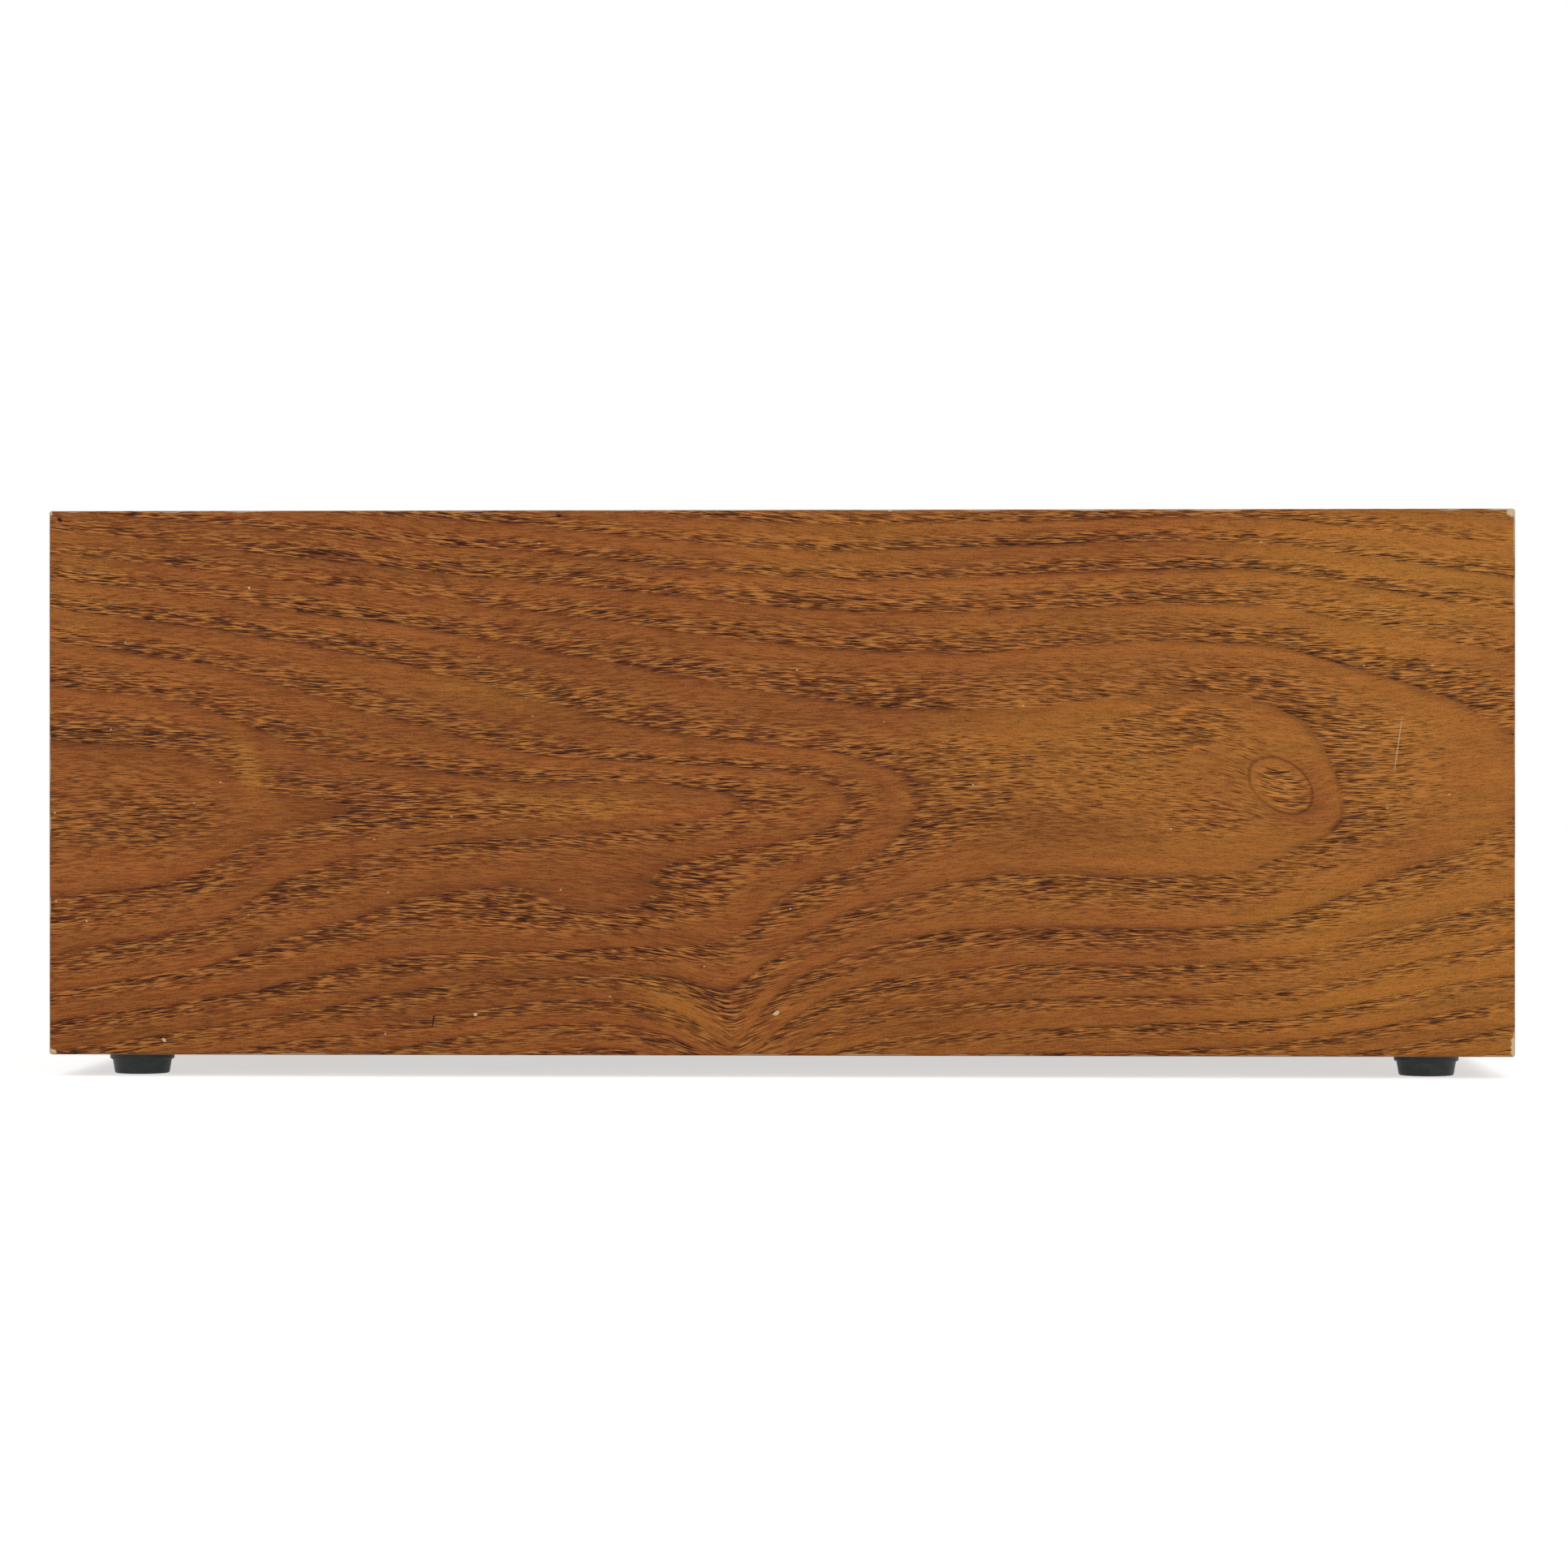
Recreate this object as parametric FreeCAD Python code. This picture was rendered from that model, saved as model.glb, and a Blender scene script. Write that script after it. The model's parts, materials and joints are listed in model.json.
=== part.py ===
import FreeCAD, Part
import os

# Table-top donation box in veneered board: a mitred case on four rubber feet, a slot with an
# inlaid plate in the top, and a drop-down door with a cam lock at the back. Millimetres.
# Origin: centre of the footprint on the table, +X right seen from the front, +Y back, +Z up.

# Case
width = 360.0
depth = 230.0
height = 134.0  # of the boards, without the feet
board = 10.0  # front, sides, top and door
base_board = 9.0
edge_round = 0.8  # softened outer edges
bearer = 12.0  # square battens that the base is screwed to
block_leg = 14.0  # triangular glue blocks in the mitred corners
block_length = 40.0

# Coin and note slot
slot_length = 110.0
slot_width = 8.0
slot_board_margin = 1.0  # the board is cut this much wider than the plate's slot
plate_end = 14.0  # plate beyond each end of the slot
plate_rim = 8.0  # plate beyond each side of the slot
plate_thickness = 1.5
plate_corner = 3.0
plate_fit = 0.1
plate_bevel = 0.4

# Sheet-metal baffle that stops fishing through the slot
baffle_sheet = 1.2
baffle_flange = 18.0
baffle_lead = 12.0  # from the bend to the middle of the slot
baffle_run = 34.0  # how far back the sloping leaf reaches
baffle_drop = 34.0
baffle_side = 12.0  # beyond each end of the slot
baffle_bend = 1.0  # bend radius

# Back door
door_side_gap = 1.0
door_top_gap = 1.5
door_round = 0.6
stop_width = 8.0
stop_depth = 10.0

# Butt hinges
hinge_length = 50.0
hinge_inset = 45.0  # from the door's side edge to the near end of the hinge
hinge_gap = 1.2  # between the door's lower edge and the base
hinge_leaf = 1.0
hinge_leaf_width = 9.0
hinge_leaf_gap = 0.4  # between the closed leaves
hinge_barrel = 4.4
hinge_pin = 2.0
hinge_pin_head = 3.2
hinge_pin_head_height = 0.7
hinge_knuckles = 5
hinge_play = 0.15  # between neighbouring knuckles
hinge_screws = 3  # along each leaf
hinge_screw_end = 9.0  # from the leaf's end to the first screw
barrel_stand_off = 0.3  # from the back of the case to the barrel
running_clearance = 0.05

# Cam lock
lock_drop = 22.0  # from the door's top edge to the lock's axis
lock_head = 20.0
lock_head_height = 2.4
lock_body = 16.0
lock_body_flat = 13.6  # across the two flats
lock_body_inside = 6.0  # length of the body past the inside of the door
lock_bore = 11.0
lock_face = 13.6  # disc at the front of the plug
lock_face_height = 1.6
lock_hole_fit = 0.2
lock_washer_outer = 23.0
lock_washer_thickness = 1.0
lock_nut_flats = 20.0
lock_nut_height = 4.0
tang = 7.0  # square end of the plug that carries the cam
cam_thickness = 2.0
cam_width = 12.0
cam_reach = 19.5
cam_fit = 0.1
cam_stand_off = 0.2
keyway_width = 1.4
keyway_height = 7.0
keyway_depth = 12.0

# Keeper that the cam turns behind
keeper_sheet = 2.0
keeper_width = 44.0
keeper_drop = 8.5
keeper_flange = 18.0
keeper_cam_gap = 0.3

# Rubber feet
foot_height = 5.5
foot_flange = 16.0
foot_flange_height = 2.0
foot_cup_top = 14.7
foot_cup_bottom = 13.5
foot_lip_round = 0.5
foot_recess = 8.6
foot_recess_depth = 3.2
foot_inset = 20.0  # from the outside of the case to the middle of a foot
foot_washer_thickness = 0.8
foot_washer_rim = 0.3  # from the washer to the wall of the recess

# Screws: shank and head diameters, and lengths under the head
hinge_screw_shank = 2.0
hinge_screw_head = 4.0
hinge_screw_length = 7.5
plate_screw_shank = 2.5
plate_screw_head = 5.0
plate_screw_length = 8.0
base_screw_shank = 3.0
base_screw_head = 6.0
base_screw_length = 17.0
base_screw_spread = 110.0  # from the middle one to the outer ones along the front
base_screw_side_spread = 50.0  # between the two along each side, half
foot_screw_shank = 3.0
foot_screw_head = 6.0
foot_screw_head_height = 1.6
foot_screw_length = 10.0
sheet_screw_shank = 2.5
sheet_screw_head = 5.0
sheet_screw_head_height = 1.6
sheet_screw_length = 8.0
cam_screw_shank = 4.0
cam_screw_head = 9.0
cam_screw_head_height = 2.2
cam_screw_length = 9.0
screw_fit = 0.05
screw_tip = 2.0
driver_slot = 0.8

# Places worked out from the sizes above
behind = barrel_stand_off + hinge_barrel  # how far the hinge barrels stand out
left, right = -width / 2, width / 2
front = -(depth + behind) / 2
back = front + depth
bottom = foot_height
top = bottom + height
inside_left, inside_right = left + board, right - board
inside_front, inside_back = front + board, back - board
inside_top = top - board
floor_top = bottom + base_board
slot_y = front + depth / 2
hinge_y = back + barrel_stand_off + hinge_barrel / 2
hinge_z = floor_top + hinge_gap / 2
door_left, door_right = inside_left + door_side_gap, inside_right - door_side_gap
door_bottom = floor_top + hinge_gap
door_top = inside_top - door_top_gap
lock_z = door_top - lock_drop
lock_end = inside_back - lock_body_inside  # inner end of the lock's body
cam_back = lock_end - cam_stand_off
cam_front = cam_back - cam_thickness
hinge_middles = {
    "left": door_left + hinge_inset + hinge_length / 2,
    "right": door_right - hinge_inset - hinge_length / 2,
}

UP = FreeCAD.Vector(0, 0, 1)
DOWN = FreeCAD.Vector(0, 0, -1)
TO_BACK = FreeCAD.Vector(0, 1, 0)
ALONG = FreeCAD.Vector(1, 0, 0)


def point(x, y, z):
    return FreeCAD.Vector(x, y, z)


def block(x0, x1, y0, y1, z0, z1):
    return Part.makeBox(x1 - x0, y1 - y0, z1 - z0, point(x0, y0, z0))


def prism(corners, run):
    return Part.Face(Part.makePolygon(corners + corners[:1])).extrude(run)


def turned(edges):
    # A profile in the XZ plane, turned about Z.
    return Part.Face(Part.Wire(edges)).revolve(point(0, 0, 0), UP, 360)


def polyline(pairs):
    corners = [point(r, 0, z) for r, z in pairs]
    return [Part.LineSegment(a, b).toShape() for a, b in zip(corners, corners[1:])]


def edges_at(shape, axis, value):
    # The straight edges that lie in one plane square to X, Y or Z.
    def lies(edge):
        return all(abs(vertex.Point[axis] - value) < 1e-6 for vertex in edge.Vertexes)

    return [edge for edge in shape.Edges if lies(edge)]


def obround(length, breadth, x, y, z0, z1):
    # A slot with round ends, its length along X.
    r = breadth / 2
    reach = length / 2 - r
    corners = [point(x - reach, y - r, z0), point(x + reach, y - r, z0),
               point(x + reach, y + r, z0), point(x - reach, y + r, z0)]
    ends = [point(x + reach + r, y, z0), point(x - reach - r, y, z0)]
    outline = Part.Wire([
        Part.LineSegment(corners[0], corners[1]).toShape(),
        Part.Arc(corners[1], ends[0], corners[2]).toShape(),
        Part.LineSegment(corners[2], corners[3]).toShape(),
        Part.Arc(corners[3], ends[1], corners[0]).toShape(),
    ])
    return Part.Face(outline).extrude(point(0, 0, z1 - z0))


def aimed(shape, place, direction):
    # Moves a screw that was made pointing down so that it points along direction at place.
    moved = shape.copy()
    moved.Placement = FreeCAD.Placement(place, FreeCAD.Rotation(DOWN, direction))
    return moved


def countersunk_screw(shank, head, length):
    cone = (head - shank) / 2
    body = turned(polyline([(0, 0), (head / 2, 0), (shank / 2, -cone),
                            (shank / 2, screw_tip - length), (0, -length), (0, 0)]))
    slot = block(-head, head, -driver_slot / 2, driver_slot / 2, -cone / 2, head)
    return body.cut(slot)


def countersunk_hole(shank, head, length):
    wide, narrow = head / 2 + screw_fit, shank / 2 + screw_fit
    depth_of_cone = (head - shank) / 2
    return turned(polyline([(0, 0), (wide, 0), (narrow, -depth_of_cone),
                            (narrow, -length - screw_fit), (0, -length - screw_fit), (0, 0)]))


def pan_screw(shank, head, head_height, length):
    rim = head_height / 3
    dome = Part.Arc(point(0, 0, head_height), point(head * 0.3, 0, head_height * 0.85),
                    point(head / 2, 0, rim)).toShape()
    sides = polyline([(head / 2, rim), (head / 2, 0), (shank / 2, 0),
                      (shank / 2, screw_tip - length), (0, -length), (0, head_height)])
    slot = block(-head, head, -driver_slot / 2, driver_slot / 2, head_height / 2, head)
    return turned([dome] + sides).cut(slot)


def straight_hole(shank, length):
    return Part.makeCylinder(shank / 2 + screw_fit, length + screw_fit, point(0, 0, 0), DOWN)


def group(shape, places, direction):
    return [aimed(shape, place, direction) for place in places]


# Where the screws go

def leaf_screw_places(z):
    first = hinge_length / 2 - hinge_screw_end
    pitch = 2 * first / (hinge_screws - 1)
    y = back - hinge_leaf_width / 2
    return [point(middle - first + i * pitch, y, z)
            for middle in hinge_middles.values() for i in range(hinge_screws)]


def plate_screw_places():
    x = slot_length / 2 + plate_end / 2
    return [point(-x, slot_y, top), point(x, slot_y, top)]


def base_screw_places():
    y = inside_front + bearer / 2
    x = inside_right - bearer / 2
    along_front = [point(dx, y, bottom) for dx in (-base_screw_spread, 0, base_screw_spread)]
    along_sides = [point(sx * x, slot_y + dy, bottom)
                   for sx in (-1, 1) for dy in (-base_screw_side_spread, base_screw_side_spread)]
    return along_front + along_sides


def foot_places():
    x = right - foot_inset
    return {"front_left": point(-x, front + foot_inset, 0), "front_right": point(x, front + foot_inset, 0),
            "rear_left": point(-x, back - foot_inset, 0), "rear_right": point(x, back - foot_inset, 0)}


def foot_screw_places():
    under_washer = foot_recess_depth - foot_washer_thickness
    return [place + point(0, 0, under_washer) for place in foot_places().values()]


def baffle_screw_places():
    x = slot_length / 2 - plate_end
    y = slot_y - baffle_lead - baffle_flange / 2
    return [point(-x, y, inside_top - baffle_sheet), point(x, y, inside_top - baffle_sheet)]


def keeper_screw_places():
    y = keeper_leg_front() - keeper_flange / 2
    return [point(sx * keeper_width / 4, y, inside_top - keeper_sheet) for sx in (-1, 1)]


def keeper_leg_front():
    return cam_back + keeper_cam_gap


# Case

def arris_cutters():
    # What rounding takes off along each outer edge of the case.
    x, y, z = [(left, right), (front, back), (bottom, top)]
    r, past = edge_round, board
    cutters = []
    for along in range(3):
        u, v = [axis for axis in range(3) if axis != along]
        spans = [x, y, z]
        for i in (0, 1):
            for j in (0, 1):
                start = FreeCAD.Vector(0, 0, 0)
                start[along], start[u], start[v] = spans[along][0] - past, spans[u][i], spans[v][j]
                inward_u, inward_v, run = [FreeCAD.Vector(0, 0, 0) for _ in range(3)]
                inward_u[u], inward_v[v] = 1 - 2 * i, 1 - 2 * j
                run[along] = spans[along][1] - spans[along][0] + 2 * past
                on_u, on_v = start + inward_u * r, start + inward_v * r
                middle = start + (inward_u + inward_v) * (r * (1 - 0.5 ** 0.5))
                corners = [on_v, on_v - inward_u * r, start - (inward_u + inward_v) * r,
                           on_u - inward_v * r, on_u]
                lines = [Part.LineSegment(a, b).toShape() for a, b in zip(corners, corners[1:])]
                outline = Part.Wire(lines + [Part.Arc(on_u, middle, on_v).toShape()])
                cutters.append(Part.Face(outline).extrude(run))
    return cutters


def mitred(outer, inner):
    wires = [Part.makePolygon(corners + corners[:1]) for corners in (outer, inner)]
    return Part.makeLoft(wires, True, True).cut(arris_cutters())


def front_panel():
    outer = [point(left, front, bottom), point(right, front, bottom),
             point(right, front, top), point(left, front, top)]
    inner = [point(inside_left, inside_front, bottom), point(inside_right, inside_front, bottom),
             point(inside_right, inside_front, inside_top), point(inside_left, inside_front, inside_top)]
    return mitred(outer, inner)


def side_panel(x_out, x_in):
    outer = [point(x_out, front, bottom), point(x_out, back, bottom),
             point(x_out, back, top), point(x_out, front, top)]
    inner = [point(x_in, inside_front, bottom), point(x_in, back, bottom),
             point(x_in, back, inside_top), point(x_in, inside_front, inside_top)]
    return mitred(outer, inner)


def plate_outline(margin, z0, z1):
    half_length = slot_length / 2 + plate_end + margin
    half_width = slot_width / 2 + plate_rim + margin
    plate = block(-half_length, half_length, slot_y - half_width, slot_y + half_width, z0, z1)
    uprights = [edge for edge in plate.Edges
                if abs(edge.Vertexes[0].Z - edge.Vertexes[1].Z) > 1e-6]
    return plate.makeFillet(plate_corner + margin, uprights)


def top_panel():
    outer = [point(left, front, top), point(right, front, top),
             point(right, back, top), point(left, back, top)]
    inner = [point(inside_left, inside_front, inside_top), point(inside_right, inside_front, inside_top),
             point(inside_right, back, inside_top), point(inside_left, back, inside_top)]
    recess = plate_outline(plate_fit, top - plate_thickness, top + board)
    wider = 2 * slot_board_margin
    through = obround(slot_length + wider, slot_width + wider, 0, slot_y, inside_top - board, top + board)
    plate_hole = countersunk_hole(plate_screw_shank, plate_screw_head, plate_screw_length)
    sheet_hole = straight_hole(sheet_screw_shank, sheet_screw_length)
    holes = group(plate_hole, plate_screw_places(), DOWN)
    holes += group(sheet_hole, baffle_screw_places() + keeper_screw_places(), UP)
    return mitred(outer, inner).cut([recess, through] + holes)


def hinge_mortise(middle, z0, z1):
    half = hinge_length / 2 + plate_fit
    return block(middle - half, middle + half, back - hinge_leaf_width - plate_fit, back + board, z0, z1)


def base_panel():
    panel = block(inside_left, inside_right, inside_front, back, bottom, floor_top).cut(arris_cutters())
    leaf_bottom = hinge_z - hinge_leaf_gap / 2 - hinge_leaf
    cuts = [hinge_mortise(middle, leaf_bottom, floor_top + board) for middle in hinge_middles.values()]
    leaf_hole = countersunk_hole(hinge_screw_shank, hinge_screw_head, hinge_screw_length)
    cuts += group(leaf_hole, leaf_screw_places(hinge_z - hinge_leaf_gap / 2), DOWN)
    base_hole = countersunk_hole(base_screw_shank, base_screw_head, base_screw_length)
    cuts += group(base_hole, base_screw_places(), UP)
    cuts += group(straight_hole(foot_screw_shank, foot_screw_length), foot_screw_places(), UP)
    return panel.cut(cuts)


def bearers():
    high = floor_top + bearer
    side_start, side_end = inside_front + bearer, inside_back - stop_depth
    bars = {
        "front_bearer": block(inside_left, inside_right, inside_front, side_start, floor_top, high),
        "left_bearer": block(inside_left, inside_left + bearer, side_start, side_end, floor_top, high),
        "right_bearer": block(inside_right - bearer, inside_right, side_start, side_end, floor_top, high),
    }
    hole = countersunk_hole(base_screw_shank, base_screw_head, base_screw_length)
    holes = group(hole, base_screw_places(), UP)
    return {name: bar.cut(holes) for name, bar in bars.items()}


def glue_blocks():
    # Upright blocks in the front corners, and short ones under the top along the front and sides.
    blocks = []
    first = floor_top + bearer
    for x, inward in ((inside_left, 1), (inside_right, -1)):
        corner = point(x, inside_front, first)
        to_side = point(inward * block_leg, 0, 0)
        to_rear = point(0, block_leg, 0)
        upright = [corner, corner + to_side, corner + to_rear]
        blocks.append(prism(upright, point(0, 0, inside_top - block_leg - first)))
        for y in (inside_front + depth / 4, inside_front + depth / 2):
            corner = point(x, y, inside_top)
            edge = [corner, corner + to_side, corner + point(0, 0, -block_leg)]
            blocks.append(prism(edge, point(0, block_length, 0)))
    for middle in (-width / 4, 0, width / 4):
        corner = point(middle - block_length / 2, inside_front, inside_top)
        edge = [corner, corner + point(0, block_leg, 0), corner + point(0, 0, -block_leg)]
        blocks.append(prism(edge, point(block_length, 0, 0)))
    return blocks


def door_stop(x0, x1):
    return block(x0, x1, inside_back - stop_depth, inside_back, floor_top, inside_top)


# Slot

def slot_plate():
    plate = plate_outline(0, top - plate_thickness, top)
    plate = plate.makeChamfer(plate_bevel, edges_at(plate, 2, top))
    slot = obround(slot_length, slot_width, 0, slot_y, inside_top, top + board)
    hole = countersunk_hole(plate_screw_shank, plate_screw_head, plate_screw_length)
    return plate.cut([slot] + group(hole, plate_screw_places(), DOWN))


def slot_baffle():
    # One bent sheet: a flange under the top, and a leaf that slopes back under the slot.
    half = slot_length / 2 + baffle_side
    bend = slot_y - baffle_lead
    tip_y, tip_z = bend + baffle_run, inside_top - baffle_drop
    slope = FreeCAD.Vector(0, baffle_run, -baffle_drop).normalize()
    across = FreeCAD.Vector(0, slope.z, -slope.y) * baffle_sheet
    # the lower line of the sheet meets the flange's lower face a little before the bend
    lower_bend = bend + (across.z + baffle_sheet) * baffle_run / baffle_drop + across.y
    outline = [
        point(-half, bend - baffle_flange, inside_top),
        point(-half, bend, inside_top),
        point(-half, tip_y, tip_z),
        point(-half, tip_y + across.y, tip_z + across.z),
        point(-half, lower_bend, inside_top - baffle_sheet),
        point(-half, bend - baffle_flange, inside_top - baffle_sheet),
    ]
    sheet = prism(outline, ALONG * (2 * half))
    bend_line = [edge for edge in edges_at(sheet, 1, lower_bend) if edge.Length > half]
    sheet = sheet.makeFillet(baffle_bend, bend_line)
    return sheet.cut(group(straight_hole(sheet_screw_shank, sheet_screw_length), baffle_screw_places(), UP))


# Back door

def double_d(diameter, flats, y0, y1):
    round_bar = Part.makeCylinder(diameter / 2, y1 - y0, point(0, y0, lock_z), TO_BACK)
    return round_bar.common(block(-flats / 2, flats / 2, y0, y1, lock_z - diameter, lock_z + diameter))


def rear_door():
    panel = block(door_left, door_right, inside_back, back, door_bottom, door_top)
    panel = panel.makeFillet(door_round, edges_at(panel, 1, back))
    leaf_top = hinge_z + hinge_leaf_gap / 2 + hinge_leaf
    cuts = [hinge_mortise(middle, floor_top, leaf_top) for middle in hinge_middles.values()]
    leaf_hole = countersunk_hole(hinge_screw_shank, hinge_screw_head, hinge_screw_length)
    cuts += group(leaf_hole, leaf_screw_places(hinge_z + hinge_leaf_gap / 2), UP)
    cuts.append(double_d(lock_body + lock_hole_fit, lock_body_flat + lock_hole_fit, inside_back, back))
    return panel.cut(cuts)


def along_hinge(middle, diameter, start, end):
    return Part.makeCylinder(diameter / 2, end - start, point(middle + start, hinge_y, hinge_z), ALONG)


def hinge_leaf_solid(middle, side, first_knuckle):
    # side is -1 for the leaf on the base, 1 for the leaf on the door.
    near, far = sorted((hinge_z + side * hinge_leaf_gap / 2,
                        hinge_z + side * (hinge_leaf_gap / 2 + hinge_leaf)))
    half = hinge_length / 2
    leaf = block(middle - half, middle + half, back - hinge_leaf_width, hinge_y, near, far)
    pitch = hinge_length / hinge_knuckles
    room = hinge_barrel + 2 * barrel_stand_off
    own, others = [], []
    for i in range(hinge_knuckles):
        start, end = i * pitch - half, (i + 1) * pitch - half
        if i % 2 == first_knuckle:
            own.append(along_hinge(middle, hinge_barrel, start + hinge_play / 2, end - hinge_play / 2))
        else:
            others.append(along_hinge(middle, room, start - hinge_play / 2, end + hinge_play / 2))
    bore = along_hinge(middle, hinge_pin + 2 * running_clearance, -half - board, half + board)
    solid = leaf.cut(others).fuse(own).removeSplitter().cut(bore)
    face = hinge_z + side * hinge_leaf_gap / 2
    hole = countersunk_hole(hinge_screw_shank, hinge_screw_head, hinge_screw_length)
    return solid.cut(group(hole, leaf_screw_places(face), UP * side)).Solids[0]


def hinge_pin_solid(middle):
    half = hinge_length / 2
    head = hinge_pin_head_height
    pin = along_hinge(middle, hinge_pin, -half - head, half + head)
    heads = [along_hinge(middle, hinge_pin_head, -half - head, -half),
             along_hinge(middle, hinge_pin_head, half, half + head)]
    return pin.fuse(heads).removeSplitter()


# Cam lock, its axis along Y at the top of the door

def lock_round(diameter, y0, y1):
    return Part.makeCylinder(diameter / 2, y1 - y0, point(0, y0, lock_z), TO_BACK)


def lock_housing():
    rim = back + lock_head_height
    head = lock_round(lock_head, back, rim)
    head = head.makeChamfer(lock_head_height / 4, [edge for edge in head.Edges
                                                   if abs(edge.CenterOfMass.y - rim) < 1e-6 and edge.Closed])
    body = double_d(lock_body, lock_body_flat, lock_end, back)
    bore = lock_round(lock_bore, lock_end, rim)
    seat = lock_round(lock_face + 2 * running_clearance, rim - lock_face_height - running_clearance, rim)
    return head.fuse(body).removeSplitter().cut([bore, seat])


def lock_washer():
    y0 = inside_back - lock_washer_thickness
    ring = lock_round(lock_washer_outer, y0, inside_back)
    return ring.cut(double_d(lock_body + lock_hole_fit, lock_body_flat + lock_hole_fit, y0, inside_back))


def lock_nut():
    y1 = inside_back - lock_washer_thickness
    y0 = y1 - lock_nut_height
    corner = point(lock_nut_flats / 3 ** 0.5, 0, 0)
    corners = [point(0, y0, lock_z) + FreeCAD.Rotation(TO_BACK, 60 * i).multVec(corner) for i in range(6)]
    return prism(corners, TO_BACK * lock_nut_height).cut(lock_round(lock_body + lock_hole_fit, y0, y1))


def lock_plug():
    rim = back + lock_head_height
    barrel = lock_round(lock_bore - 2 * running_clearance, lock_end, rim)
    face = lock_round(lock_face, rim - lock_face_height, rim)
    half = tang / 2
    square = block(-half, half, cam_front, lock_end, lock_z - half, lock_z + half)
    keyway = block(-keyway_width / 2, keyway_width / 2, rim - keyway_depth, rim,
                   lock_z - keyway_height / 2, lock_z + keyway_height / 2)
    thread = aimed(straight_hole(cam_screw_shank, cam_screw_length), point(0, cam_front, lock_z), TO_BACK)
    return barrel.fuse([face, square]).removeSplitter().cut([keyway, thread])


def lock_cam():
    # Unlocked at rest, so the cam lies along +X.
    r = cam_width / 2
    bar = block(0, cam_reach - r, cam_front, cam_back, lock_z - r, lock_z + r)
    hub = lock_round(cam_width, cam_front, cam_back)
    tip = Part.makeCylinder(r, cam_thickness, point(cam_reach - r, cam_front, lock_z), TO_BACK)
    half = tang / 2 + cam_fit
    hole = block(-half, half, cam_front, cam_back, lock_z - half, lock_z + half)
    return bar.fuse([hub, tip]).removeSplitter().cut(hole)


def lock_keeper():
    leg_front = keeper_leg_front()
    half = keeper_width / 2
    under = inside_top - keeper_sheet
    flange = block(-half, half, leg_front - keeper_flange, leg_front + keeper_sheet, under, inside_top)
    leg = block(-half, half, leg_front, leg_front + keeper_sheet, inside_top - keeper_drop, inside_top)
    bent = flange.fuse(leg).removeSplitter()
    return bent.cut(group(straight_hole(sheet_screw_shank, sheet_screw_length), keeper_screw_places(), UP))


# Feet

def foot(place):
    cup_top = foot_height - foot_flange_height
    profile = polyline([
        (foot_screw_shank / 2 + screw_fit, foot_height), (foot_flange / 2, foot_height),
        (foot_flange / 2, cup_top), (foot_cup_top / 2, cup_top), (foot_cup_bottom / 2, 0),
        (foot_recess / 2, 0), (foot_recess / 2, foot_recess_depth),
        (foot_screw_shank / 2 + screw_fit, foot_recess_depth),
        (foot_screw_shank / 2 + screw_fit, foot_height)])
    rubber = turned(profile)
    rims = [edge for edge in rubber.Edges if edge.Closed
            and edge.BoundBox.XLength > foot_cup_bottom - 1e-6
            and abs(edge.BoundBox.XLength - foot_cup_top) > 1e-6]
    rubber = rubber.makeFillet(foot_lip_round, rims)
    rubber.translate(place)
    return rubber


def foot_washers():
    z = foot_recess_depth - foot_washer_thickness
    outer = foot_recess / 2 - foot_washer_rim
    washer = Part.makeCylinder(outer, foot_washer_thickness, point(0, 0, z))
    washer = washer.cut(Part.makeCylinder(foot_screw_shank / 2 + screw_fit, foot_height))
    return [washer.translated(place) for place in foot_places().values()]


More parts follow.
